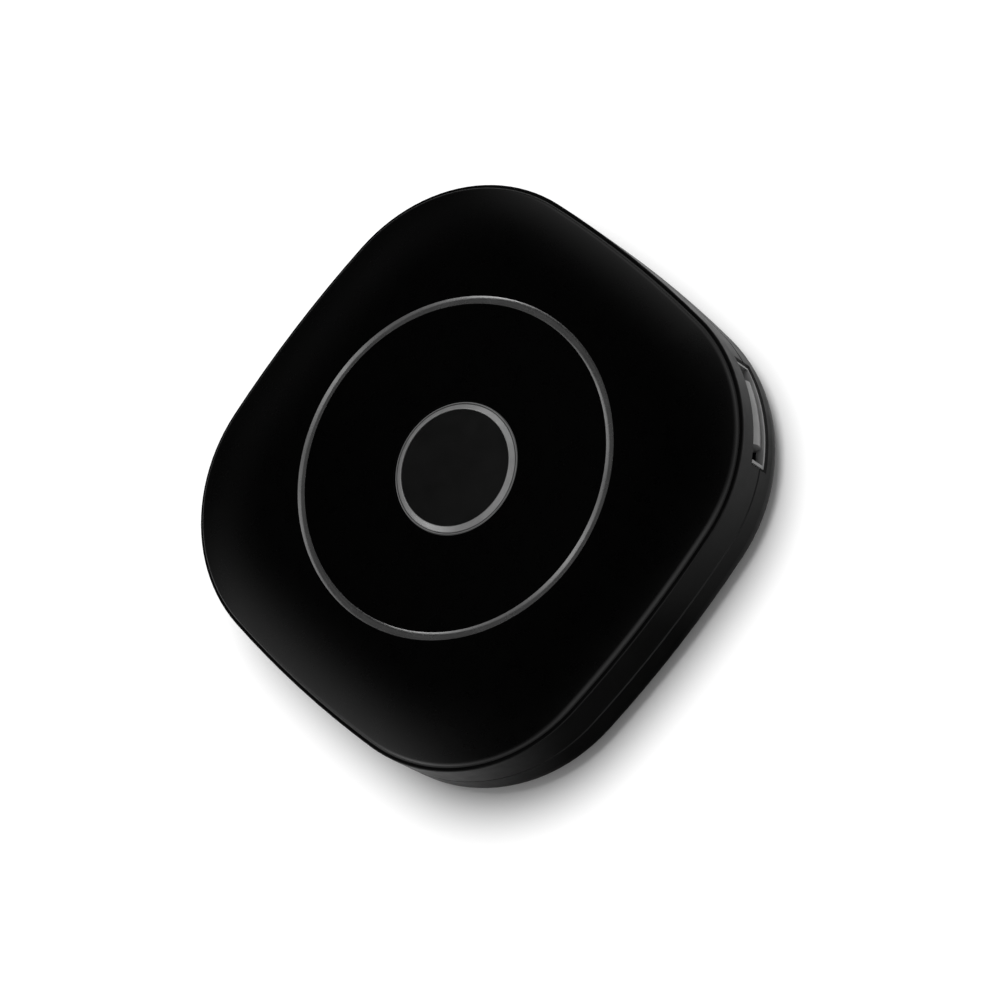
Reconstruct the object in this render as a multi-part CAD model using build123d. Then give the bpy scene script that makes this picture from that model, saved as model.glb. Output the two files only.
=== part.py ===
"""A Bluetooth tracker tag: a rounded-square pebble in two halves, with one button and a lanyard bar.

Millimetres. The back rests on Z = 0, the face looks along +Z, the origin is at the middle of the back, and
the lanyard corner points along +X +Y. The tag opens at the parting line: the back cover keeps the cell, and
the front half (frame, face, board and button) lifts off it.

Every outline is one closed curve of eight tangent arcs, four long ones for the sides and four for the
corners, so an inset copy keeps the same centres. A wall is a section drawn as inset and height, and turned
round each arc in turn.
"""

from build123d import *
import os
from math import acos, asin, atan2, cos, degrees, radians, sin, sqrt

# Outline
HALF_WIDTH = 19.0
SIDE_RADIUS = 84.0
CORNER_RADIUS = 12.25

# Heights from the back
FLOOR = 1.0
PARTING = 3.85
TONGUE_TOP = 5.0
FRAME_TOP = 6.85
RIM_UNDERCUT_TOP = 6.88
RIM = 7.1
FACE = 8.53
FACE_UNDERSIDE = 7.5

# Shell
BACK_EDGE_RADIUS = 2.15
FRAME_WALL = 1.2
TONGUE_OUTER, TONGUE_INNER = 1.4, 2.2
PARTING_BEVEL = 0.15
FRAME_TOP_RADIUS = 0.1
RIM_INSET = 0.22
RIM_EDGE_RADIUS = 0.6
RIM_UNDERCUT = 0.8
SHOULDER_INSET = 6.2
SKIRT_OUTER, SKIRT_INNER, SKIRT_BOTTOM = 1.4, 2.2, 5.6

# Perimeter seal, in a groove in the back cover's top edge
SEAL_OUTER, SEAL_INNER, SEAL_BOTTOM = 0.45, 1.0, 3.3
SEAL_CLEARANCE = 0.03

# Accent ring in the face: a shallow channel with a flat bottom and sloping sides
ACCENT_RADIUS, ACCENT_WIDTH, ACCENT_DEPTH = 12.13, 0.57, 0.4
ACCENT_CHANNEL, ACCENT_BOTTOM_WIDTH = 0.2, 0.2

# The face is dished inside the ring, and the button stands just proud of the dish
DISH_DEPTH = 0.36
BUTTON_HOLE_RADIUS = 4.88
BUTTON_RADIUS = 4.82
BUTTON_TOP = 8.36
BUTTON_CAP_RADIUS = 4.22
TRIM_GAP = 0.02
CAP_TOP, CAP_DISH = 8.3, 0.2
FLANGE_RADIUS, FLANGE_BOTTOM, FLANGE_TOP = 5.4, 7.05, 7.45

# Lanyard slot and bar in the +X +Y corner, with the slot's middle at this angle round its centre
LANYARD_ANGLE = 51.5
SLOT_HALF_LENGTH = 3.8
SLOT_BOTTOM, SLOT_TOP = 3.05, 4.95
SLOT_BEVEL = 0.25
POCKET_DEPTH = 3.3
POCKET_WALL = 0.8
BAR_OUTER, BAR_INNER, BAR_HALF_LENGTH = 0.6, 1.8, 2.4
BAR_BULGE = 0.45
BAR_SUNK = 0.65
BAR_CLEARANCE = 0.05
LINER, LINER_INSET = 0.2, 0.12

# Coin cell, Ø20 x 3.2
CELL_RADIUS, CELL_BOTTOM, CELL_TOP = 10.0, 1.3, 4.5
CELL_CAP_RADIUS = 8.7
CELL_SHEET = 0.25
CRADLE_INNER, CRADLE_OUTER, CRADLE_TOP = 10.2, 11.2, 3.6

# Circuit board
BOARD_BOTTOM, BOARD_TOP = 5.1, 5.9
BOARD_INSET = 2.6
SCREW_PLACES = [(-13.2, 4.0), (4.0, -13.2), (9.6, 9.6)]
SCREW_RADIUS, SCREW_HEAD_RADIUS, SCREW_HEAD = 0.7, 1.25, 0.5
BOSS_RADIUS = 1.7

# Buzzer, hung under the board in the corner across from the lanyard
BUZZER_PLACE = (-10.75, -10.75)
BUZZER_RADIUS, BUZZER_BOTTOM = 3.75, 2.6

# Tact switch under the button
SWITCH_TOP, PLUNGER_TOP, PLUNGER_RADIUS = 6.65, 6.9, 0.9

CLIP_ANGLES = (135, 315)


# ---- outline ----


def corner_centre():
    """Distance of a corner arc's centre from both axes, so that it meets the side arcs with no kink."""
    shift = SIDE_RADIUS - HALF_WIDTH
    return (sqrt(2 * (SIDE_RADIUS - CORNER_RADIUS) ** 2 - shift**2) - shift) / 2


CORNER = corner_centre()
SIDE_SHIFT = SIDE_RADIUS - HALF_WIDTH
SIDE_HALF_ANGLE = degrees(atan2(CORNER, CORNER + SIDE_SHIFT))


def outline_arcs():
    """(centre, radius, first angle, angle covered) of each arc, anticlockwise from the +X side."""
    arcs = []
    for quarter in range(4):
        turn = 90 * quarter
        side = Rot(0, 0, turn) * Pos(-SIDE_SHIFT, 0)
        corner = Rot(0, 0, turn) * Pos(CORNER, CORNER)
        arcs.append((side.position, SIDE_RADIUS, turn - SIDE_HALF_ANGLE, 2 * SIDE_HALF_ANGLE))
        arcs.append((corner.position, CORNER_RADIUS, turn + SIDE_HALF_ANGLE, 90 - 2 * SIDE_HALF_ANGLE))
    return arcs


def outline(inset):
    """The outline's face, moved in by inset."""
    edges = [
        CenterArc((centre.X, centre.Y), radius - inset, first, covered)
        for centre, radius, first, covered in outline_arcs()
    ]
    return make_face(Wire(edges))


def slab(face, bottom, top):
    """A flat plate of that face between two heights."""
    return Pos(0, 0, bottom) * extrude(face, top - bottom)


def band(outer, inner, bottom, top):
    """An upright wall between two insets of the outline."""
    return slab(outline(outer) - outline(inner), bottom, top)


def turned_wall(section):
    """The wall whose section(radius) is drawn at X = radius - inset, turned round every outline arc."""
    pieces = []
    for centre, radius, first, covered in outline_arcs():
        piece = revolve(section(radius), Axis.Z, covered)
        pieces.append(Pos(centre.X, centre.Y) * Rot(0, 0, first) * piece)
    return pieces[0].fuse(*pieces[1:])


def upright(*lines):
    """A face on the XZ plane, bounded by those lines joined end to end."""
    return make_face(Wire([edge for line in lines for edge in line.edges()]))


def disc(radius, bottom, top, place=(0, 0)):
    return Pos(*place, (bottom + top) / 2) * Cylinder(radius, top - bottom)


def tube(outer, inner, bottom, top, place=(0, 0)):
    return disc(outer, bottom, top, place) - disc(inner, bottom - 1, top + 1, place)


def block(size_x, size_y, bottom, top, place=(0, 0)):
    return Pos(*place, (bottom + top) / 2) * Box(size_x, size_y, top - bottom)


def turned(points, place=(0, 0)):
    """A solid of revolution from radius-and-height points."""
    corners = [(radius, 0, height) for radius, height in points]
    face = make_face(Polyline(*corners, close=True))
    return Pos(*place) * revolve(face, Axis.Z)


# ---- lanyard corner ----


def across_corner(near, far, half_length):
    """A rectangle across the slot's direction, between two distances from the corner arc's centre."""
    out = Pos(CORNER, CORNER) * Rot(0, 0, LANYARD_ANGLE)
    return out * Pos((near + far) / 2, 0) * Rectangle(far - near, 2 * half_length)


def lanyard_pocket(margin):
    """The pocket behind the slot, grown by margin, open to the outside of the corner."""
    near = CORNER_RADIUS - POCKET_DEPTH - margin
    return across_corner(near, CORNER_RADIUS + 2, SLOT_HALF_LENGTH + margin)


def lanyard_bar_shape(margin):
    """The bar's plan: a stretch of wall that follows the corner, grown by margin."""
    wall = outline(BAR_OUTER - margin) - outline(BAR_INNER + margin)
    return wall & across_corner(0, CORNER_RADIUS + 2, BAR_HALF_LENGTH + margin)


def bevel_slot_mouth(shell, lip_height):
    """Bevels the edges of the slot's mouth: the lip at lip_height and the upright ends beside it."""
    from_corner = Rot(0, 0, -LANYARD_ANGLE) * Pos(-CORNER, -CORNER)

    def on_mouth(edge):
        middle = (from_corner * Pos(edge.position_at(0.5))).position
        on_surface = abs(sqrt(middle.X**2 + middle.Y**2) - CORNER_RADIUS) < 0.02
        between_ends = middle.X > 0 and abs(middle.Y) < SLOT_HALF_LENGTH + 0.1
        upright_end = between_ends and SLOT_BOTTOM < middle.Z < SLOT_TOP and edge.geom_type == GeomType.LINE
        return on_surface and (abs(middle.Z - lip_height) < 0.01 or upright_end)

    return chamfer([edge for edge in shell.edges() if on_mouth(edge)], SLOT_BEVEL)


# ---- back half ----


def back_cover():
    def section(radius):
        edge = BACK_EDGE_RADIUS
        points = [(0, edge), (0, PARTING - PARTING_BEVEL), (PARTING_BEVEL, PARTING), (TONGUE_OUTER, PARTING)]
        points += [(TONGUE_OUTER, TONGUE_TOP), (TONGUE_INNER, TONGUE_TOP), (TONGUE_INNER, 0), (edge, 0)]
        corners = [(radius - inset, 0, height) for inset, height in points]
        reach = edge * (1 - cos(radians(45)))
        rounding = ThreePointArc(corners[-1], (radius - reach, 0, reach), corners[0])
        return upright(Polyline(*corners), rounding)

    shell = turned_wall(section) + slab(outline(BACK_EDGE_RADIUS), 0, FLOOR)
    pocket, pocket_skin = lanyard_pocket(0), lanyard_pocket(POCKET_WALL)
    shell += slab(outline(TONGUE_OUTER) & pocket_skin, FLOOR / 2, TONGUE_TOP)
    shell -= slab(pocket, SLOT_BOTTOM, TONGUE_TOP + 1)
    shell -= band(SEAL_OUTER, SEAL_INNER, SEAL_BOTTOM, PARTING + 1) - slab(
        lanyard_pocket(POCKET_WALL), 0, FACE
    )
    shell = bevel_slot_mouth(shell, SLOT_BOTTOM)
    shell += battery_cradle()
    shell -= slab(lanyard_bar_shape(0), SLOT_BOTTOM - BAR_SUNK, SLOT_BOTTOM + 1)
    return shell - sound_holes()


def battery_cradle():
    """The ring that holds the cell, cut for the two side contacts and for a fingertip at each side."""
    ring = tube(CRADLE_OUTER, CRADLE_INNER, FLOOR - 0.2, CRADLE_TOP)
    cut_bottom = FLOOR + 0.1
    for angle in CLIP_ANGLES:
        ring -= Rot(0, 0, angle) * block(4, 3.2, cut_bottom, PARTING, (CRADLE_INNER, 0))
    for angle in (0, 180):
        ring -= Rot(0, 0, angle) * block(4, 7.0, cut_bottom + 0.8, PARTING, (CRADLE_INNER, 0))
    return ring


def sound_holes():
    hole_radius, circle = 0.45, 1.6
    holes = disc(hole_radius, -1, FLOOR + 1, BUZZER_PLACE)
    for place in PolarLocations(circle, 6):
        holes += Pos(*BUZZER_PLACE) * place * Cylinder(hole_radius, 4 * FLOOR)
    return holes


def perimeter_seal():
    gap = SEAL_CLEARANCE
    ring = band(SEAL_OUTER + gap, SEAL_INNER - gap, SEAL_BOTTOM, PARTING - gap)
    return ring - slab(lanyard_pocket(POCKET_WALL + gap), 0, FACE)


def lanyard_bar():
    """The bar a cord goes round, bulged outwards, and a thin lip along the slot's floor and up its ends."""
    outer, inner = CORNER_RADIUS - BAR_OUTER - 0.01, CORNER_RADIUS - BAR_INNER + 0.01
    foot, head = SLOT_BOTTOM - BAR_SUNK, SLOT_TOP + BAR_SUNK - BAR_CLEARANCE
    low, high = (outer, 0, SLOT_BOTTOM), (outer, 0, SLOT_TOP)
    back = Polyline(low, (outer, 0, foot), (inner, 0, foot), (inner, 0, head), (outer, 0, head), high)
    bulge = ThreePointArc(high, (outer + BAR_BULGE, 0, (SLOT_BOTTOM + SLOT_TOP) / 2), low)
    turn = revolve(upright(back, bulge), Axis.Z, 40)
    bar = Pos(CORNER, CORNER) * Rot(0, 0, LANYARD_ANGLE - 20) * turn
    bar &= slab(across_corner(0, CORNER_RADIUS + 2, BAR_HALF_LENGTH - 0.01), 0, FACE)
    half_length = SLOT_HALF_LENGTH - 0.02
    lip = outline(LINER_INSET) - outline(BAR_OUTER + 0.1)
    lip &= across_corner(0, CORNER_RADIUS + 2, half_length)
    inside = across_corner(0, CORNER_RADIUS + 2, half_length - LINER)
    floor = slab(lip, SLOT_BOTTOM, SLOT_BOTTOM + LINER)
    ends = slab(lip - inside, SLOT_BOTTOM, SLOT_TOP - BAR_CLEARANCE)
    return bar + floor + ends


def battery_foam_pad():
    return disc(CELL_RADIUS - 1, FLOOR, CELL_BOTTOM)


def acoustic_mesh():
    return disc(2.9, FLOOR, FLOOR + 0.15, BUZZER_PLACE)


def buzzer_gasket():
    return tube(3.5, 2.95, FLOOR, BUZZER_BOTTOM - 0.05, BUZZER_PLACE)


# ---- front half ----


def mid_frame():
    def section(radius):
        top, bottom = FRAME_TOP_RADIUS, PARTING + 0.02
        points = [(0, FRAME_TOP - top), (0, bottom + 0.03), (0.03, bottom), (FRAME_WALL, bottom)]
        points += [(FRAME_WALL, FRAME_TOP), (top, FRAME_TOP)]
        corners = [(radius - inset, 0, height) for inset, height in points]
        reach = top * (1 - cos(radians(45)))
        rounding = ThreePointArc(corners[-1], (radius - reach, 0, FRAME_TOP - reach), corners[0])
        return upright(Polyline(*corners), rounding)

    frame = turned_wall(section)
    frame -= slab(lanyard_pocket(0), PARTING - 1, SLOT_TOP)
    frame = bevel_slot_mouth(frame, SLOT_TOP)
    frame += slab(outline(FRAME_WALL - 0.2) & lanyard_pocket(-0.1), SLOT_TOP, FRAME_TOP)
    return frame - slab(lanyard_bar_shape(BAR_CLEARANCE), SLOT_TOP - 1, SLOT_TOP + BAR_SUNK)


def shoulder_radius():
    """Radius of the face's rounded shoulder, level where it meets the flat middle and dropping to the rim."""
    run, drop = SHOULDER_INSET - RIM_INSET, FACE - RIM
    return (run**2 + drop**2) / (2 * drop)


def shoulder_height(inset, radius):
    """Height at an inset of an arc of that radius, centred below the shoulder's inner edge."""
    centre_height = FACE - shoulder_radius()
    return centre_height + sqrt(radius**2 - (SHOULDER_INSET - inset) ** 2)


def rim_rounding():
    """Foot, middle and top of the rim's rounding, as inset and height: it runs tangent into the shoulder."""
    inside = shoulder_radius() - RIM_EDGE_RADIUS
    centre_inset = RIM_INSET + RIM_EDGE_RADIUS
    run = SHOULDER_INSET - centre_inset
    centre_height = FACE - shoulder_radius() + sqrt(inside**2 - run**2)
    first = asin((RIM_UNDERCUT_TOP - centre_height) / RIM_EDGE_RADIUS)
    last = acos(run / inside)
    return [
        (centre_inset - RIM_EDGE_RADIUS * cos(turn), centre_height + RIM_EDGE_RADIUS * sin(turn))
        for turn in (first, (first + last) / 2, last)
    ]


def front_cover():
    outer_arc = shoulder_radius()
    inner_arc = outer_arc - (FACE - FACE_UNDERSIDE)
    foot, rounding, shoulder_foot = rim_rounding()
    half_way = (SHOULDER_INSET + shoulder_foot[0]) / 2
    half_way_under = (SHOULDER_INSET + SKIRT_INNER) / 2

    def section(radius):
        def at(inset, height):
            return (radius - inset, 0, height)

        top = ThreePointArc(
            at(SHOULDER_INSET, FACE), at(half_way, shoulder_height(half_way, outer_arc)), at(*shoulder_foot)
        )
        rim = ThreePointArc(at(*shoulder_foot), at(*rounding), at(*foot))
        edge = Polyline(
            at(*foot),
            at(RIM_UNDERCUT, RIM_UNDERCUT_TOP),
            at(RIM_UNDERCUT, FRAME_TOP),
            at(SKIRT_OUTER, FRAME_TOP),
            at(SKIRT_OUTER, SKIRT_BOTTOM),
            at(SKIRT_INNER, SKIRT_BOTTOM),
            at(SKIRT_INNER, shoulder_height(SKIRT_INNER, inner_arc)),
        )
        under = ThreePointArc(
            at(SKIRT_INNER, shoulder_height(SKIRT_INNER, inner_arc)),
            at(half_way_under, shoulder_height(half_way_under, inner_arc)),
            at(SHOULDER_INSET, FACE_UNDERSIDE),
        )
        inner_side = Line(at(SHOULDER_INSET, FACE_UNDERSIDE), at(SHOULDER_INSET, FACE))
        return upright(top, rim, edge, under, inner_side)

    cover = turned_wall(section) + slab(outline(SHOULDER_INSET), FACE_UNDERSIDE, FACE)
    cover -= face_dish()
    cover -= disc(BUTTON_HOLE_RADIUS, FACE_UNDERSIDE - 1, FACE + 1)
    cover -= accent_groove()
    cover -= slab(lanyard_pocket(0.1), SKIRT_BOTTOM - 1, FRAME_TOP)
    for place in SCREW_PLACES:
        cover += disc(BOSS_RADIUS, BOARD_TOP, FACE_UNDERSIDE + 0.1, place)
        cover -= disc(SCREW_RADIUS, BOARD_TOP - 1, FACE_UNDERSIDE - 0.25, place)
    return cover


def face_dish():
    """The ball that presses the face's shallow dish, from the accent ring inwards."""
    edge = ACCENT_RADIUS - ACCENT_WIDTH / 2
    radius = (edge**2 + DISH_DEPTH**2) / (2 * DISH_DEPTH)
    return Pos(0, 0, FACE - DISH_DEPTH + radius) * Sphere(radius)


def accent_groove():
    half = ACCENT_WIDTH / 2
    return tube(ACCENT_RADIUS + half, ACCENT_RADIUS - half, FACE - ACCENT_DEPTH, FACE + 1)


def accent_ring():
    """A thin ring laid in the face's groove, flush at both edges, with a channel pressed along its top."""
    half, half_bottom = ACCENT_WIDTH / 2 - 0.005, ACCENT_BOTTOM_WIDTH / 2
    section = [
        (ACCENT_RADIUS - half, FACE - ACCENT_DEPTH),
        (ACCENT_RADIUS + half, FACE - ACCENT_DEPTH),
        (ACCENT_RADIUS + half, FACE - 0.01),
        (ACCENT_RADIUS + half_bottom, FACE - ACCENT_CHANNEL),
        (ACCENT_RADIUS - half_bottom, FACE - ACCENT_CHANNEL),
        (ACCENT_RADIUS - half, FACE - 0.01),
    ]
    return turned(section)


def circuit_board():
    board = slab(outline(BOARD_INSET) - lanyard_pocket(1.2), BOARD_BOTTOM, BOARD_TOP)
    for place in SCREW_PLACES:
        board -= disc(SCREW_RADIUS + 0.1, BOARD_BOTTOM - 1, BOARD_TOP + 1, place)
    return board


def board_screws():
    screws = []
    for place in SCREW_PLACES:
        head = disc(SCREW_HEAD_RADIUS, BOARD_BOTTOM - SCREW_HEAD, BOARD_BOTTOM, place)
        head = fillet(head.edges().group_by(Axis.Z)[0], 0.2)
        shank = disc(SCREW_RADIUS - 0.01, BOARD_BOTTOM, FACE_UNDERSIDE - 0.4, place)
        recess = block(0.3, 1.3, BOARD_BOTTOM - SCREW_HEAD, BOARD_BOTTOM - SCREW_HEAD + 0.25, place)
        recess += block(1.3, 0.3, BOARD_BOTTOM - SCREW_HEAD, BOARD_BOTTOM - SCREW_HEAD + 0.25, place)
        screws.append(head + shank - recess)
    return Compound(screws)


# ---- electronics ----

SHIELD_PLACE = (-3.5, 10.0)
SHIELD_SIZE = (9.0, 6.6)


def radio_chip():
    return block(4.0, 4.0, BOARD_TOP, BOARD_TOP + 0.85, SHIELD_PLACE)


def shield_can():
    sheet, height = 0.15, 1.25
    width, depth = SHIELD_SIZE
    can = block(width, depth, BOARD_TOP, BOARD_TOP + height, SHIELD_PLACE)
    can = fillet(can.edges().filter_by(Axis.Z) + can.edges().group_by(Axis.Z)[-1], 0.25)
    inside_width, inside_depth = width - 2 * sheet, depth - 2 * sheet
    can -= block(inside_width, inside_depth, BOARD_TOP - 1, BOARD_TOP + height - sheet, SHIELD_PLACE)
    for place in GridLocations(2.0, 2.0, 3, 2):
        can -= Pos(*SHIELD_PLACE, BOARD_TOP + height) * place * Cylinder(0.35, 1)
    return can


def main_crystal():
    body = block(2.0, 1.6, BOARD_TOP, BOARD_TOP + 0.5, (4.0, 9.2))
    return chamfer(body.edges().group_by(Axis.Z)[-1], 0.1)


def clock_crystal():
    body = block(3.2, 1.5, BOARD_TOP, BOARD_TOP + 0.8, (4.6, 12.2))
    return chamfer(body.edges().group_by(Axis.Z)[-1], 0.1)


def chip_antenna():
    return block(5.2, 1.8, BOARD_TOP, BOARD_TOP + 1.0, (-12.0, -8.0))


def passives():
    """Small resistors and capacitors beside the chip, the switch and the aerial."""
    chips = []
    for place in GridLocations(1.9, 1.5, 4, 2):
        chips.append(Pos(10.5, -3.5) * place * block(1.0, 0.5, BOARD_TOP, BOARD_TOP + 0.35))
    for place in GridLocations(2.0, 1.4, 3, 2):
        chips.append(Pos(-10.5, -0.5) * place * block(0.6, 1.0, BOARD_TOP, BOARD_TOP + 0.4))
    for place in GridLocations(3.2, 1, 3, 1):
        chips.append(Pos(5.0, -8.5) * place * block(1.6, 0.8, BOARD_TOP, BOARD_TOP + 0.7))
    return Compound(chips)


def switch_base():
    base = block(4.0, 3.0, BOARD_TOP, SWITCH_TOP - 0.15)
    return base - disc(1.3, BOARD_TOP + 0.15, SWITCH_TOP)


def switch_cover():
    plate = block(4.0, 3.0, SWITCH_TOP - 0.15, SWITCH_TOP)
    return plate - disc(PLUNGER_RADIUS + 0.06, BOARD_TOP, SWITCH_TOP + 1)


def switch_terminals():
    legs = [
        block(0.55, 0.7, BOARD_TOP, BOARD_TOP + 0.12, (2.3 * side, 1.05 * end))
        for side in (-1, 1)
        for end in (-1, 1)
    ]
    return Compound(legs)


def switch_dome():
    """The snap dome under the plunger: a thin shallow cap."""
    bottom, rise, sheet, radius = BOARD_TOP + 0.15, 0.2, 0.05, 1.2
    sphere_radius = (radius**2 + rise**2) / (2 * rise)
    centre_height = bottom + rise - sphere_radius
    cap = Pos(0, 0, centre_height) * (Sphere(sphere_radius) - Sphere(sphere_radius - sheet))
    return cap & disc(radius, bottom, bottom + rise + 1)


def switch_plunger():
    stem = disc(PLUNGER_RADIUS, SWITCH_TOP - 0.2, PLUNGER_TOP)
    foot = disc(PLUNGER_RADIUS + 0.25, BOARD_TOP + 0.36, SWITCH_TOP - 0.17)
    return stem + foot


def negative_contact():
    """A sprung leaf under the board that presses on the middle of the cell."""
    sheet, half_width = 0.15, 1.4
    level, touch = BOARD_BOTTOM - sheet, CELL_TOP + 0.03
    path = Polyline((-7.0, level), (-4.2, level), (1.6, touch), (3.0, touch + 0.25))
    upper = [(3.0, touch + 0.25), (1.6, touch), (-4.2, level), (-7.0, level)]
    back = Polyline(*[(x, height + sheet) for x, height in upper])
    profile = upright(path, Line(path @ 1, back @ 0), back, Line(back @ 1, path @ 0))
    leaf = Pos(0, half_width) * Rot(90, 0, 0) * extrude(profile, 2 * half_width)
    return leaf - block(7.0, 0.5, CELL_TOP - 1, BOARD_BOTTOM, (0.9, 0))


def positive_contacts():
    """Two sprung clips that reach down through the cradle and press on the cell's side."""
    sheet, half_width = 0.15, 1.2
    level = BOARD_BOTTOM - sheet
    touch, stand = CELL_RADIUS + 0.04, CELL_RADIUS + 0.5
    front = [(12.8, level), (stand + sheet, level), (touch + sheet, 3.5), (stand + sheet, 2.4)]
    back = [(stand, 2.4), (touch, 3.5), (stand, level + sheet), (12.8, level + sheet)]
    profile = make_face(Polyline(*front, *back, close=True))
    clip = Pos(0, half_width) * Rot(90, 0, 0) * extrude(profile, 2 * half_width)
    return Compound([Rot(0, 0, angle) * clip for angle in CLIP_ANGLES])


def buzzer_housing():
    shell = tube(BUZZER_RADIUS, BUZZER_RADIUS - 0.4, BUZZER_BOTTOM, BOARD_BOTTOM, BUZZER_PLACE)
    floor = tube(BUZZER_RADIUS, 1.1, BUZZER_BOTTOM, BUZZER_BOTTOM + 0.3, BUZZER_PLACE)
    step = tube(BUZZER_RADIUS, 2.9, BUZZER_BOTTOM, BUZZER_BOTTOM + 0.7, BUZZER_PLACE)
    return shell + floor + step


def buzzer_diaphragm():
    bottom = BUZZER_BOTTOM + 0.72
    return disc(3.2, bottom, bottom + 0.05, BUZZER_PLACE) + disc(1.2, bottom - 0.2, bottom, BUZZER_PLACE)


def buzzer_magnet():
    return tube(3.2, 2.5, BUZZER_BOTTOM + 0.95, BOARD_BOTTOM - 0.25, BUZZER_PLACE)


def buzzer_coil():
    return tube(2.3, 0.85, BUZZER_BOTTOM + 1.1, BOARD_BOTTOM - 0.25, BUZZER_PLACE)


def buzzer_pole():
    base = disc(3.2, BOARD_BOTTOM - 0.22, BOARD_BOTTOM, BUZZER_PLACE)
    return base + disc(0.8, BUZZER_BOTTOM + 1.0, BOARD_BOTTOM - 0.2, BUZZER_PLACE)


# ---- coin cell ----


def cell_can():
    """The positive can: a shallow cup whose edge is crimped over the gasket."""
    lip_height, lip_inner = CELL_TOP - 0.2, CELL_CAP_RADIUS + 0.45
    body = disc(CELL_RADIUS, CELL_BOTTOM, lip_height)
    body = fillet(body.edges().group_by(Axis.Z)[0], 0.35)
    body = fillet(body.edges().group_by(Axis.Z)[-1], 0.3)
    inside = disc(CELL_RADIUS - CELL_SHEET, CELL_BOTTOM + CELL_SHEET, lip_height - CELL_SHEET)
    return body - inside - disc(lip_inner, CELL_BOTTOM + CELL_SHEET, CELL_TOP)


def cell_gasket():
    outer, inner = CELL_CAP_RADIUS + 0.43, CELL_CAP_RADIUS + 0.02
    return tube(outer, inner, CELL_BOTTOM + CELL_SHEET + 0.05, CELL_TOP - 0.15)


def cell_cap():
    lid = disc(CELL_CAP_RADIUS, CELL_BOTTOM + 0.5, CELL_TOP)
    lid = fillet(lid.edges().group_by(Axis.Z)[-1], 0.3)
    return lid - disc(CELL_CAP_RADIUS - CELL_SHEET, CELL_BOTTOM, CELL_TOP - CELL_SHEET)


def cell_cathode():
    return disc(CELL_CAP_RADIUS - 0.5, CELL_BOTTOM + CELL_SHEET, CELL_BOTTOM + 1.9)


def cell_separator():
    return disc(CELL_CAP_RADIUS - 0.4, CELL_BOTTOM + 1.91, CELL_BOTTOM + 2.0)


def cell_anode():
    return disc(CELL_CAP_RADIUS - 0.7, CELL_BOTTOM + 2.01, CELL_TOP - CELL_SHEET)


# ---- button ----


def button_cap():
    """The pressed disc with a dished top, a flange that keeps it in the face, and a nub over the switch."""
    cap = disc(BUTTON_CAP_RADIUS, FLANGE_TOP - 0.1, CAP_TOP)
    cap = fillet(cap.edges().group_by(Axis.Z)[-1], 0.06)
    dish_radius = (BUTTON_CAP_RADIUS**2 + CAP_DISH**2) / (2 * CAP_DISH)
    dish = Pos(0, 0, CAP_TOP - CAP_DISH + dish_radius) * Sphere(dish_radius)
    flange = disc(FLANGE_RADIUS, FLANGE_BOTTOM, FLANGE_TOP)
    nub = disc(1.1, PLUNGER_TOP, FLANGE_BOTTOM + 0.1)
    return cap - dish + flange + nub


def button_trim_ring():
    """The plated ring round the cap: a wide bevel, then a fine line turned beside the thin outer edge."""
    inner = BUTTON_CAP_RADIUS + TRIM_GAP
    section = [
        (inner, FLANGE_TOP),
        (BUTTON_RADIUS, FLANGE_TOP),
        (BUTTON_RADIUS, BUTTON_TOP - 0.32),
        (BUTTON_RADIUS - 0.06, BUTTON_TOP - 0.22),
        (BUTTON_RADIUS - 0.11, BUTTON_TOP - 0.22),
        (BUTTON_RADIUS - 0.12, BUTTON_TOP - 0.46),
        (BUTTON_RADIUS - 0.18, BUTTON_TOP - 0.46),
        (BUTTON_RADIUS - 0.19, BUTTON_TOP - 0.22),
        (inner + 0.05, BUTTON_TOP),
        (inner, BUTTON_TOP - 0.03),
    ]
    return turned(section)


NODES = [
    back_cover,
    perimeter_seal,
    lanyard_bar,
    battery_foam_pad,
    acoustic_mesh,
    buzzer_gasket,
    mid_frame,
    front_cover,
    accent_ring,
    circuit_board,
    board_screws,
    radio_chip,
    shield_can,
    main_crystal,
    clock_crystal,
    chip_antenna,
    passives,
    switch_base,
    switch_cover,
    switch_terminals,
    switch_dome,
    switch_plunger,
    negative_contact,
    positive_contacts,
    buzzer_housing,
    buzzer_diaphragm,
    buzzer_magnet,
    buzzer_coil,
    buzzer_pole,
    cell_can,
    cell_gasket,
    cell_cap,
    cell_cathode,
    cell_separator,
    cell_anode,
    button_cap,
    button_trim_ring,
]

os.makedirs("parts", exist_ok=True)
for make in NODES:
    export_step(make(), f"parts/{make.__name__}.step")
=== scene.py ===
import bmesh
import bpy
from math import asin, atan2, cos, degrees, pi, radians, sin, sqrt
from mathutils import Matrix, Vector


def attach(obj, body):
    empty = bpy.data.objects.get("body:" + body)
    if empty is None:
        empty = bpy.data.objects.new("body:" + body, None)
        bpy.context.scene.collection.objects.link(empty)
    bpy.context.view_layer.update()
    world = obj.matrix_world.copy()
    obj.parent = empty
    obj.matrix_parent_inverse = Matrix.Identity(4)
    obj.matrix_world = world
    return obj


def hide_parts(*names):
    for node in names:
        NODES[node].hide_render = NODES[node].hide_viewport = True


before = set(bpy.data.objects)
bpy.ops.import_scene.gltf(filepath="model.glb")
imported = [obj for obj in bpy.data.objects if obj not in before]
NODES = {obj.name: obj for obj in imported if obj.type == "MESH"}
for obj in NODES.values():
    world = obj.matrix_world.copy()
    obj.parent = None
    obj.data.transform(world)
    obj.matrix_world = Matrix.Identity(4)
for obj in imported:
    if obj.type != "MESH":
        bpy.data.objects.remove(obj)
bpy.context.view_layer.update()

# ---- camera ----

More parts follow.
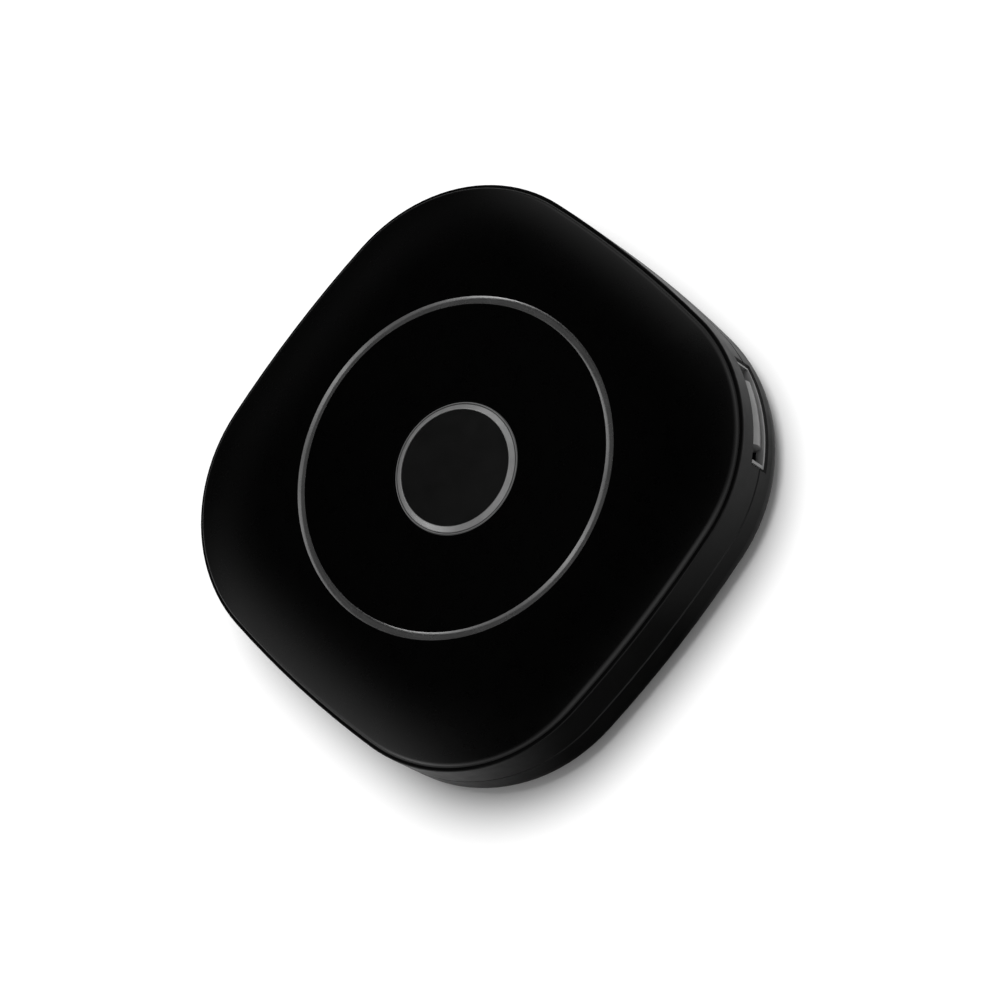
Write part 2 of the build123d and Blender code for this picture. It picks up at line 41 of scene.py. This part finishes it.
CAMERA_AZIMUTH, CAMERA_ELEVATION, CAMERA_ROLL = 8.673, 57.41, -59.727
CAMERA_DISTANCE = 0.35356
CAMERA_AIM = Vector((-0.00057, -0.00045, 0.00017))
CAMERA_LENS = 180.0


def make_camera():
    """Looks at the aim from that azimuth and elevation, rolled about the line of sight."""
    az, el, roll = (radians(a) for a in (CAMERA_AZIMUTH, CAMERA_ELEVATION, CAMERA_ROLL))
    toward = Vector((cos(az) * cos(el), sin(az) * cos(el), sin(el)))
    level = Vector((-sin(az), cos(az), 0))
    upright = toward.cross(level)
    right = level * cos(roll) + upright * sin(roll)
    up = toward.cross(right)
    data = bpy.data.cameras.new("camera")
    data.lens, data.sensor_width = CAMERA_LENS, 36.0
    data.clip_start, data.clip_end = 0.01, 10.0
    camera = bpy.data.objects.new("camera", data)
    bpy.context.scene.collection.objects.link(camera)
    camera.matrix_world = Matrix.Translation(CAMERA_AIM + toward * CAMERA_DISTANCE) @ Matrix(
        (
            (right.x, up.x, toward.x, 0),
            (right.y, up.y, toward.y, 0),
            (right.z, up.z, toward.z, 0),
            (0, 0, 0, 1),
        )
    )
    bpy.context.scene.camera = camera


make_camera()

# ---- materials ----

WAVE_PERIOD_MM = 314  # the wave texture's, at a scale of 1


def maths_node(tree, operation, a, b):
    """One arithmetic node. Each of a and b is a number or another node's output."""
    n = tree.nodes.new("ShaderNodeMath")
    n.operation = operation
    for socket, value in zip(n.inputs, (a, b)):
        if isinstance(value, (int, float)):
            socket.default_value = value
        else:
            tree.links.new(value, socket)
    return n.outputs[0]


class Mat:
    """A material and its shader, with short ways to make nodes. Sizes are in millimetres."""

    def __init__(self, name):
        self.mat = bpy.data.materials.new(name)
        self.mat.use_nodes = True
        self.tree = self.mat.node_tree
        self.shader = self.tree.nodes["Principled BSDF"]
        self.coords = self.node("ShaderNodeTexCoord").outputs["Object"]

    def node(self, kind, **settings):
        n = self.tree.nodes.new(kind)
        for key, value in settings.items():
            setattr(n, key, value)
        return n

    def link(self, a, b):
        self.tree.links.new(a, b)

    def noise(self, size_mm, detail=3.0, stretch=(1, 1, 1)):
        mapping = self.node("ShaderNodeMapping")
        mapping.inputs["Scale"].default_value = [1000 / size_mm * s for s in stretch]
        self.link(self.coords, mapping.inputs["Vector"])
        n = self.node("ShaderNodeTexNoise")
        n.inputs["Scale"].default_value = 1.0
        n.inputs["Detail"].default_value = detail
        n.inputs["Roughness"].default_value = 0.55
        self.link(mapping.outputs["Vector"], n.inputs["Vector"])
        return n.outputs["Fac"]

    def ramp(self, fac, stops):
        r = self.node("ShaderNodeValToRGB")
        els = r.color_ramp.elements
        while len(els) < len(stops):
            els.new(0.5)
        for e, (pos, col) in zip(els, stops):
            e.position = pos
            e.color = (*col, 1)
        self.link(fac, r.inputs["Fac"])
        return r.outputs["Color"]

    def span(self, fac, low, high, start=0.3, end=0.7):
        """Maps start..end to low..high, and holds it there outside them."""
        m = self.node("ShaderNodeMapRange")
        m.inputs["From Min"].default_value = start
        m.inputs["From Max"].default_value = end
        m.inputs["To Min"].default_value = low
        m.inputs["To Max"].default_value = high
        self.link(fac, m.inputs["Value"])
        return m.outputs["Result"]

    def bump(self, height, depth_mm):
        b = self.node("ShaderNodeBump")
        b.inputs["Distance"].default_value = depth_mm / 1000
        b.inputs["Strength"].default_value = 1.0
        self.link(height, b.inputs["Height"])
        self.link(b.outputs["Normal"], self.shader.inputs["Normal"])

    def set(self, **values):
        for key, value in values.items():
            self.shader.inputs[key.replace("_", " ")].default_value = value

    def wave(self, kind, direction, pitch_mm, centre=(0, 0, 0), wobble=0.0):
        """Regular ridges that far apart: straight bands across an axis, or rings about one."""
        mapping = self.node("ShaderNodeMapping")
        mapping.inputs["Location"].default_value = [-c / 1000 for c in centre]
        self.link(self.coords, mapping.inputs["Vector"])
        w = self.node("ShaderNodeTexWave", wave_type=kind)
        setattr(w, "bands_direction" if kind == "BANDS" else "rings_direction", direction)
        w.inputs["Scale"].default_value = WAVE_PERIOD_MM / pitch_mm
        w.inputs["Distortion"].default_value = wobble
        self.link(mapping.outputs["Vector"], w.inputs["Vector"])
        return w.outputs["Fac"]

    def cells(self, size_mm, feature="F1", metric="EUCLIDEAN"):
        v = self.node("ShaderNodeTexVoronoi", feature=feature, distance=metric)
        v.inputs["Scale"].default_value = 1000 / size_mm
        self.link(self.coords, v.inputs["Vector"])
        return v.outputs["Distance"]

    def maths(self, operation, a, b):
        return maths_node(self.tree, operation, a, b)


def plastic(name, dark, light, rough, specular, grain_mm, grain_depth, uneven=0.05):
    m = Mat(name)
    m.link(m.ramp(m.noise(3.0), [(0.3, dark), (0.7, light)]), m.shader.inputs["Base Color"])
    m.link(m.span(m.noise(1.2, 4), rough - uneven, rough + uneven), m.shader.inputs["Roughness"])
    m.bump(m.noise(grain_mm, 2), grain_depth)
    m.set(Specular_IOR_Level=specular)
    return m.mat


def metal(name, dark, light, rough, grain_mm, grain_depth, stretch=(1, 1, 1), metallic=1.0, specular=0.5):
    m = Mat(name)
    m.link(m.ramp(m.noise(1.5), [(0.3, dark), (0.7, light)]), m.shader.inputs["Base Color"])
    m.link(m.span(m.noise(0.8, 4), rough - 0.06, rough + 0.06), m.shader.inputs["Roughness"])
    m.bump(m.noise(grain_mm, 2, stretch=stretch), grain_depth)
    m.set(Metallic=metallic, Specular_IOR_Level=specular)
    return m.mat


def foam(name, dark, light):
    """Open foam: round pores with thin walls between them."""
    m = Mat(name)
    pores = m.cells(0.28)
    m.link(m.ramp(pores, [(0.1, dark), (0.6, light)]), m.shader.inputs["Base Color"])
    m.bump(m.maths("ADD", pores, m.noise(0.1)), 0.05)
    m.set(Roughness=0.95, Specular_IOR_Level=0.1)
    return m.mat


def woven(name, dark, light, pitch):
    """A plain weave: two sets of round threads crossing."""
    m = Mat(name)
    threads = m.maths("MAXIMUM", m.wave("BANDS", "X", pitch), m.wave("BANDS", "Y", pitch))
    m.link(m.ramp(threads, [(0.45, dark), (0.9, light)]), m.shader.inputs["Base Color"])
    m.bump(threads, 0.03)
    m.set(Roughness=0.7)
    return m.mat


def turned_metal(name, dark, light, rough, pitch, depth, centre=(0, 0, 0)):
    """Metal with fine rings left by a lathe or a press, and faint smudges."""
    m = Mat(name)
    rings = m.wave("RINGS", "Z", pitch, centre, 1.5)
    m.link(m.ramp(m.noise(2.5), [(0.35, dark), (0.65, light)]), m.shader.inputs["Base Color"])
    m.link(m.span(m.noise(1.2, 5), rough - 0.08, rough + 0.1), m.shader.inputs["Roughness"])
    m.bump(m.maths("ADD", rings, m.noise(0.2)), depth)
    m.set(Metallic=1.0)
    return m.mat


def wound(name, dark, light, pitch, centre):
    """Enamelled wire wound in layers: ridges round the side and rings on the end."""
    m = Mat(name)
    turns = m.maths("MAXIMUM", m.wave("BANDS", "Z", pitch, centre), m.wave("RINGS", "Z", pitch, centre))
    m.link(m.ramp(turns, [(0.3, dark), (0.8, light)]), m.shader.inputs["Base Color"])
    m.bump(turns, 0.03)
    m.set(Metallic=0.8, Roughness=0.35)
    return m.mat


def circuit(name):
    """Solder mask over copper: squared-off tracks between larger copper areas, with tinned vias."""
    m = Mat(name)
    near, next_one = m.cells(1.6, "F1", "MANHATTAN"), m.cells(1.6, "F2", "MANHATTAN")
    track = m.span(m.maths("SUBTRACT", next_one, near), 1.0, 0.0, 0.1, 0.14)
    pour = m.span(m.noise(6.0, 1), 0.0, 1.0, 0.5, 0.51)
    copper = m.maths("MAXIMUM", track, pour)
    mask = m.ramp(copper, [(0.0, (0.004, 0.03, 0.012)), (1.0, (0.008, 0.07, 0.026))])
    via = m.span(m.cells(2.3), 1.0, 0.0, 0.09, 0.1)
    tint = m.node("ShaderNodeMix", data_type="RGBA")
    m.link(via, tint.inputs[0])
    m.link(mask, tint.inputs[6])
    tint.inputs[7].default_value = (0.6, 0.56, 0.45, 1)
    m.link(tint.outputs[2], m.shader.inputs["Base Color"])
    m.link(via, m.shader.inputs["Metallic"])
    m.link(m.span(m.noise(0.6), 0.28, 0.4), m.shader.inputs["Roughness"])
    m.bump(m.maths("ADD", copper, m.maths("MULTIPLY", m.noise(0.15), 0.1)), 0.03)
    return m.mat


def grey(value):
    """The same value in red, green and blue."""
    return (value,) * 3


BUZZER = (-10.75, -10.75, 0)  # the middle of its turned and wound pieces
SHELL = plastic("shell", grey(0.001), grey(0.002), 0.36, 0.08, 0.09, 0.002)
FACE = plastic("face", grey(0.0001), grey(0.0002), 0.28, 0.14, 0.06, 0.0008, 0.015)
BUTTON = plastic("button", grey(0.0025), grey(0.0035), 0.34, 0.3, 0.06, 0.001)
TRIM = metal("trim", grey(0.17), grey(0.21), 0.42, 0.08, 0.0015, metallic=0.35)
RING = metal("ring", grey(0.036), grey(0.044), 0.25, 0.08, 0.0005, metallic=0.1, specular=1.0)
BAR = metal("bar", grey(0.2), grey(0.24), 0.35, 0.06, 0.001, metallic=0.3)
SCREW = turned_metal("screw", grey(0.35), grey(0.5), 0.3, 0.15, 0.002)
SHEET = metal("sheet", grey(0.45), grey(0.6), 0.3, 0.1, 0.002)
CRYSTAL = metal("crystal", grey(0.5), grey(0.62), 0.2, 0.4, 0.002, stretch=(1, 8, 1))
GOLD = metal("gold", (0.6, 0.42, 0.16), (0.75, 0.56, 0.24), 0.28, 0.3, 0.002, stretch=(6, 1, 1))
CELL = turned_metal("cell", grey(0.5), grey(0.62), 0.24, 0.35, 0.002)
CELL_FACE = turned_metal("cell_face", grey(0.46), grey(0.6), 0.34, 0.22, 0.006)
DIAPHRAGM = turned_metal("diaphragm", grey(0.4), grey(0.55), 0.25, 0.3, 0.002, BUZZER)
MAGNET = turned_metal("magnet", grey(0.07), grey(0.12), 0.55, 0.3, 0.003, BUZZER)
COIL = wound("coil", (0.3, 0.09, 0.03), (0.62, 0.26, 0.1), 0.09, BUZZER)
RUBBER = plastic("rubber", grey(0.012), grey(0.02), 0.7, 0.3, 0.1, 0.004)
FOAM = foam("foam", grey(0.004), grey(0.03))
GASKET_FOAM = foam("gasket_foam", grey(0.006), grey(0.02))
MESH = woven("mesh", grey(0.003), grey(0.05), 0.12)
BOARD = circuit("board")
EPOXY = plastic("epoxy", grey(0.012), grey(0.02), 0.55, 0.4, 0.08, 0.003)
MOULDED = plastic("moulded", grey(0.02), grey(0.03), 0.5, 0.4, 0.2, 0.003)
CERAMIC = plastic("ceramic", (0.6, 0.58, 0.54), (0.7, 0.68, 0.64), 0.5, 0.5, 0.1, 0.002)
CHIP_TAN = plastic("chip_tan", (0.3, 0.2, 0.12), (0.42, 0.3, 0.19), 0.5, 0.5, 0.15, 0.003)
NYLON = plastic("nylon", (0.4, 0.4, 0.37), (0.5, 0.5, 0.46), 0.5, 0.4, 0.1, 0.002)
PAPER = plastic("paper", (0.6, 0.6, 0.57), (0.72, 0.72, 0.68), 0.8, 0.2, 0.12, 0.006)
CATHODE = plastic("cathode", grey(0.01), grey(0.035), 0.85, 0.3, 0.15, 0.008)
ANODE = metal("anode", grey(0.3), grey(0.45), 0.55, 0.5, 0.006)

WEAR = {
    "back_cover": SHELL, "mid_frame": SHELL, "front_cover": FACE, "accent_ring": RING, "button_cap": BUTTON,
    "button_trim_ring": TRIM, "lanyard_bar": BAR, "perimeter_seal": RUBBER, "battery_foam_pad": FOAM,
    "acoustic_mesh": MESH, "buzzer_gasket": GASKET_FOAM, "circuit_board": BOARD, "board_screws": SCREW,
    "radio_chip": EPOXY, "shield_can": SHEET, "main_crystal": CRYSTAL, "clock_crystal": CRYSTAL,
    "chip_antenna": CERAMIC, "passives": CHIP_TAN, "switch_base": MOULDED, "switch_cover": SHEET,
    "switch_terminals": GOLD, "switch_dome": SHEET, "switch_plunger": MOULDED, "negative_contact": GOLD,
    "positive_contacts": GOLD, "buzzer_housing": MOULDED, "buzzer_diaphragm": DIAPHRAGM,
    "buzzer_magnet": MAGNET, "buzzer_coil": COIL, "buzzer_pole": MAGNET, "cell_can": CELL,
    "cell_gasket": NYLON, "cell_cap": CELL_FACE, "cell_cathode": CATHODE, "cell_separator": PAPER,
    "cell_anode": ANODE,
}
for node, material in WEAR.items():
    data = NODES[node].data
    data.materials.clear()
    data.materials.append(material)

# ---- the face, as one smooth skin ----

# The CAD model's dimensions, in millimetres
MM = 0.001
HALF_WIDTH, SIDE_RADIUS, CORNER_RADIUS = 19.0, 84.0, 12.25
FRAME_TOP, RIM_UNDERSIDE, RIM, FACE_TOP, FACE_UNDERSIDE = 6.85, 6.88, 7.1, 8.53, 7.5
RIM_INSET, RIM_EDGE, RIM_UNDERCUT, SHOULDER_INSET = 0.22, 0.6, 0.8, 6.2
SKIRT_OUTER, SKIRT_INNER, SKIRT_BOTTOM = 1.4, 2.2, 5.6
GROOVE_OUTER, GROOVE_INNER, GROOVE_BOTTOM = 12.415, 11.845, 8.13
DISH_DEPTH, BUTTON_HOLE = 0.36, 4.88
BOSS_PLACES = [(-13.2, 4.0), (4.0, -13.2), (9.6, 9.6)]
BOSS_RADIUS, BOSS_HOLE, BOSS_BOTTOM = 1.7, 0.7, 5.9
BOSS_HOLE_DEPTH, BOSS_ROOT, BOSS_MIDDLE = 0.25, 0.1, 0.01
POCKET_ANGLE, POCKET_HALF_ANGLE = 51.5, 21.5

# How many steps each stretch of the skin is cut into
SIDE_STEPS, CORNER_STEPS = 16, 48
RIM_STEPS, SHOULDER_STEPS, UNDERSIDE_STEPS, DISH_STEPS = 12, 20, 8, 14
UNDERSIDE_RING = 9.0
SHARP_ANGLE = 28


def outline_columns():
    """(centre, radius, direction) round the outline: four long arcs and four corner arcs, all tangent."""
    shift = SIDE_RADIUS - HALF_WIDTH
    corner = (sqrt(2 * (SIDE_RADIUS - CORNER_RADIUS) ** 2 - shift**2) - shift) / 2
    half = degrees(atan2(corner, corner + shift))
    columns = []
    for quarter in range(4):
        turn = Matrix.Rotation(radians(90 * quarter), 2)
        side, bend = turn @ Vector((-shift, 0)), turn @ Vector((corner, corner))
        for centre, radius, first, covered, steps in (
            (side, SIDE_RADIUS, -half, 2 * half, SIDE_STEPS),
            (bend, CORNER_RADIUS, half, 90 - 2 * half, CORNER_STEPS),
        ):
            start = 90 * quarter + first
            columns += [(centre, radius, start + covered * k / steps) for k in range(steps)]
    return columns


def rim_and_shoulder():
    """Inset and height up the rim's rounding and over the shoulder to its inner edge."""
    run, drop = SHOULDER_INSET - RIM_INSET, FACE_TOP - RIM
    big = (run**2 + drop**2) / (2 * drop)
    # The rounding's centre lies its own radius inside both the rim's wall and the shoulder's arc
    inset = RIM_INSET + RIM_EDGE
    height = FACE_TOP - big + sqrt((big - RIM_EDGE) ** 2 - (SHOULDER_INSET - inset) ** 2)
    touch = asin((SHOULDER_INSET - inset) / (big - RIM_EDGE))
    first = asin((RIM_UNDERSIDE - height) / RIM_EDGE)
    points = []
    for k in range(RIM_STEPS + 1):
        a = first + k / RIM_STEPS * (pi / 2 - touch - first)
        points.append((inset - RIM_EDGE * cos(a), height + RIM_EDGE * sin(a)))
    for k in range(1, SHOULDER_STEPS + 1):
        a = touch * (1 - k / SHOULDER_STEPS)
        points.append((SHOULDER_INSET - big * sin(a), FACE_TOP - big + big * cos(a)))
    return points


def shoulder_underside():
    """Inset and height under the shoulder, from its inner edge out to the skirt."""
    run, drop = SHOULDER_INSET - RIM_INSET, FACE_TOP - RIM
    small = (run**2 + drop**2) / (2 * drop) - (FACE_TOP - FACE_UNDERSIDE)
    centre = FACE_UNDERSIDE - small
    width = SHOULDER_INSET - SKIRT_INNER
    insets = [SHOULDER_INSET - width * k / UNDERSIDE_STEPS for k in range(UNDERSIDE_STEPS + 1)]
    return [(i, centre + sqrt(small**2 - (SHOULDER_INSET - i) ** 2)) for i in insets]


def dish_height(radius):
    """Height of the face's shallow dish at that radius."""
    ball = (GROOVE_INNER**2 + DISH_DEPTH**2) / (2 * DISH_DEPTH)
    return FACE_TOP - DISH_DEPTH + ball - sqrt(ball**2 - radius**2)


def ring_of_points(mesh_points, columns, row):
    """Adds one row of points, all at an inset from the outline or all at a radius from the middle."""
    kind, across, height = row
    for centre, radius, angle in columns:
        out = Vector((cos(radians(angle)), sin(radians(angle))))
        place = centre + (radius - across) * out if kind == "inset" else across * out
        in_pocket = abs(angle - POCKET_ANGLE) < POCKET_HALF_ANGLE and height < FRAME_TOP
        mesh_points.append((place.x * MM, place.y * MM, (FRAME_TOP if in_pocket else height) * MM))


def make_face_skin():
    """The front cover from the same dimensions, in even rows of faces, so that its gloss runs smoothly."""
    columns = outline_columns()
    rows = [("inset", SKIRT_INNER, SKIRT_BOTTOM), ("inset", SKIRT_OUTER, SKIRT_BOTTOM)]
    rows += [("inset", SKIRT_OUTER, FRAME_TOP), ("inset", RIM_UNDERCUT, FRAME_TOP)]
    rows += [("inset", RIM_UNDERCUT, RIM_UNDERSIDE)]
    rows += [("inset", i, z) for i, z in rim_and_shoulder()]
    rows += [("radius", GROOVE_OUTER, z) for z in (FACE_TOP, GROOVE_BOTTOM)]
    rows.append(("radius", GROOVE_INNER, GROOVE_BOTTOM))
    for k in range(DISH_STEPS + 1):
        r = GROOVE_INNER + (BUTTON_HOLE - GROOVE_INNER) * k / DISH_STEPS
        rows.append(("radius", r, dish_height(r)))
    rows += [("radius", r, FACE_UNDERSIDE) for r in (BUTTON_HOLE, UNDERSIDE_RING)]
    rows += [("inset", i, z) for i, z in shoulder_underside()]
    points, faces = [], []
    for row in rows:
        ring_of_points(points, columns, row)
    n = len(columns)
    for a in range(len(rows)):
        b = (a + 1) % len(rows)
        for k in range(n):
            j = (k + 1) % n
            faces.append((a * n + k, a * n + j, b * n + j, b * n + k))
    hole_top, root = FACE_UNDERSIDE - BOSS_HOLE_DEPTH, FACE_UNDERSIDE + BOSS_ROOT
    section = [(BOSS_MIDDLE, hole_top), (BOSS_HOLE, hole_top), (BOSS_HOLE, BOSS_BOTTOM)]
    section += [(BOSS_RADIUS, BOSS_BOTTOM), (BOSS_RADIUS, root), (BOSS_MIDDLE, root)]
    for place in BOSS_PLACES:
        add_turned(points, faces, section, place)
    return new_piece("face_skin", points, faces, FACE)


def add_turned(points, faces, section, place):
    """Adds a closed section turned about an upright axis."""
    first, n, steps = len(points), len(section), CORNER_STEPS
    for k in range(steps):
        a = 2 * pi * k / steps
        for r, z in section:
            points.append(((place[0] + r * cos(a)) * MM, (place[1] + r * sin(a)) * MM, z * MM))
    for k in range(steps):
        j = (k + 1) % steps
        for i in range(n):
            m = (i + 1) % n
            faces.append((first + k * n + i, first + j * n + i, first + j * n + m, first + k * n + m))


def new_piece(name, points, faces, material):
    """A smooth-shaded piece of those points and faces, with its steeper edges kept sharp."""
    mesh = bpy.data.meshes.new(name)
    mesh.from_pydata(points, [], faces)
    piece = bpy.data.objects.new(name, mesh)
    bpy.context.scene.collection.objects.link(piece)
    mesh.materials.append(material)
    bm = bmesh.new()
    bm.from_mesh(mesh)
    bmesh.ops.recalc_face_normals(bm, faces=bm.faces)
    bm.to_mesh(mesh)
    bm.free()
    mesh.shade_smooth()
    mesh.set_sharp_from_angle(angle=radians(SHARP_ANGLE))
    return piece


skin = make_face_skin()
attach(skin, "front_half")
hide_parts("front_cover")

# ---- floor and light ----

# The floor's tone as the camera sees it, and the darker tone that only the object's reflections and bounce
# light see, with a dark oval of painted shade beside the object
FLOOR_SEEN, FLOOR_REFLECTED, FLOOR_HALF = 0.95, 0.7, 2.0
SHADE_OVAL_PLACE, SHADE_OVAL_SIZE, SHADE_OVAL_TONE = (0.021, -0.006), (0.011, 0.016), 0.06
# Painted shade: as it lights the object, the floor also darkens to that share of its tone towards -X,
# between those two places on X
WEST_SHADE_TONE, WEST_FROM, WEST_TO = 0.08, -0.032, -0.02
# Brightness of the dome that lights matt surfaces, and of the dark room and its horizon that gloss reflects
DOME, ROOM, HORIZON, HORIZON_NARROWNESS = 0.38, 0.014, 2.6, 7
OVERHEAD_PLACE, OVERHEAD_SIZE, OVERHEAD_POWER = (-0.06, 0.1, 0.5), 0.36, 2.6
# Azimuth, elevation, brightness and narrowness of each soft light that gloss reflects
SOFTBOXES = [
    (-118, 27, 1.6, 16),
    (-98, 6, 5.0, 20),
    (125, 20, 2.2, 20),
    (0, 30, 2.8, 14),
    (70, 24, 1.0, 10),
    (180, 30, 0.16, 30),
]


def make_floor():
    """A pale floor just under the object. The tone it shows to reflections and bounce light is darker and
    carries painted shade.
    """
    mesh = bpy.data.meshes.new("floor")
    half = FLOOR_HALF
    corners = [(-half, -half, 0), (half, -half, 0), (half, half, 0), (-half, half, 0)]
    mesh.from_pydata(corners, [], [(0, 1, 2, 3)])
    floor = bpy.data.objects.new("floor", mesh)
    floor.location.z = -0.00001
    bpy.context.scene.collection.objects.link(floor)
    m = Mat("floor")
    # A dark oval of painted shade on the floor, seen only by the object's reflections and bounce light
    shade_oval = m.node("ShaderNodeMapping", vector_type="TEXTURE")
    shade_oval.inputs["Location"].default_value = (*SHADE_OVAL_PLACE, 0)
    shade_oval.inputs["Scale"].default_value = (*SHADE_OVAL_SIZE, 1)
    m.link(m.coords, shade_oval.inputs["Vector"])
    away = m.node("ShaderNodeVectorMath", operation="LENGTH")
    m.link(shade_oval.outputs["Vector"], away.inputs[0])
    reflected = m.span(away.outputs["Value"], SHADE_OVAL_TONE, FLOOR_REFLECTED, 0.4, 1.2)
    east = m.node("ShaderNodeSeparateXYZ")
    m.link(m.coords, east.inputs[0])
    # Painted shade towards -X, seen only by the object's reflections and bounce light
    west_shade = m.span(east.outputs["X"], WEST_SHADE_TONE, 1.0, WEST_FROM, WEST_TO)
    reflected = m.maths("MULTIPLY", reflected, west_shade)
    seen = m.span(m.noise(40.0), FLOOR_SEEN - 0.01, FLOOR_SEEN)
    tone = m.node("ShaderNodeMix")
    # Camera rays see the pale floor; all other rays see the darker tone with its painted shade
    m.link(m.node("ShaderNodeLightPath").outputs["Is Camera Ray"], tone.inputs[0])
    m.link(reflected, tone.inputs[2])
    m.link(seen, tone.inputs[3])
    m.link(tone.outputs[0], m.shader.inputs["Base Color"])
    m.set(Roughness=0.9, Specular_IOR_Level=0.0)
    mesh.materials.append(m.mat)


def make_world():
    """An even white dome for matt surfaces, and a dark room with soft lights round it for reflections."""
    world = bpy.data.worlds.new("studio")
    bpy.context.scene.world = world
    world.use_nodes = True
    tree = world.node_tree
    background = tree.nodes["Background"]
    background.inputs["Color"].default_value = (1, 1, 1, 1)

    def maths(operation, a, b):
        return maths_node(tree, operation, a, b)

    towards = tree.nodes.new("ShaderNodeTexCoord").outputs["Generated"]
    room = None
    for azimuth, elevation, brightness, narrowness in SOFTBOXES:
        dot = tree.nodes.new("ShaderNodeVectorMath")
        dot.operation = "DOT_PRODUCT"
        az, el = radians(azimuth), radians(elevation)
        dot.inputs[1].default_value = (cos(az) * cos(el), sin(az) * cos(el), sin(el))
        tree.links.new(towards, dot.inputs[0])
        spread = maths("POWER", maths("MAXIMUM", dot.outputs["Value"], 0.0), narrowness)
        glow = maths("MULTIPLY", spread, brightness)
        room = glow if room is None else maths("ADD", room, glow)
    split = tree.nodes.new("ShaderNodeSeparateXYZ")
    tree.links.new(towards, split.inputs[0])
    level = maths("SUBTRACT", 1.0, maths("MULTIPLY", split.outputs["Z"], split.outputs["Z"]))
    low = maths("POWER", level, HORIZON_NARROWNESS)
    # The horizon fades out towards -X
    front = maths("MULTIPLY", maths("ADD", split.outputs["X"], 0.5), 2)
    front = maths("MINIMUM", maths("MAXIMUM", front, 0), 1)
    room = maths("ADD", room, maths("MULTIPLY", maths("MULTIPLY", low, front), HORIZON))
    room = maths("ADD", room, ROOM)
    glossy = tree.nodes.new("ShaderNodeLightPath").outputs["Is Glossy Ray"]
    dome = maths("MULTIPLY", maths("SUBTRACT", 1.0, glossy), DOME)
    strength = maths("ADD", maths("MULTIPLY", room, glossy), dome)
    tree.links.new(strength, background.inputs["Strength"])
    world.cycles.sampling_method = "NONE"


def make_overhead():
    """A broad light nearly overhead, which keeps the shadow short and soft. Reflections don't show it."""
    data = bpy.data.lights.new("overhead", "AREA")
    data.shape, data.size, data.energy = "DISK", OVERHEAD_SIZE, OVERHEAD_POWER
    light = bpy.data.objects.new("overhead", data)
    bpy.context.scene.collection.objects.link(light)
    light.location = OVERHEAD_PLACE
    light.rotation_euler = (-light.location).to_track_quat("-Z", "Y").to_euler()
    light.visible_glossy = False


make_floor()
make_world()
make_overhead()
bpy.context.scene.view_settings.view_transform = "Standard"
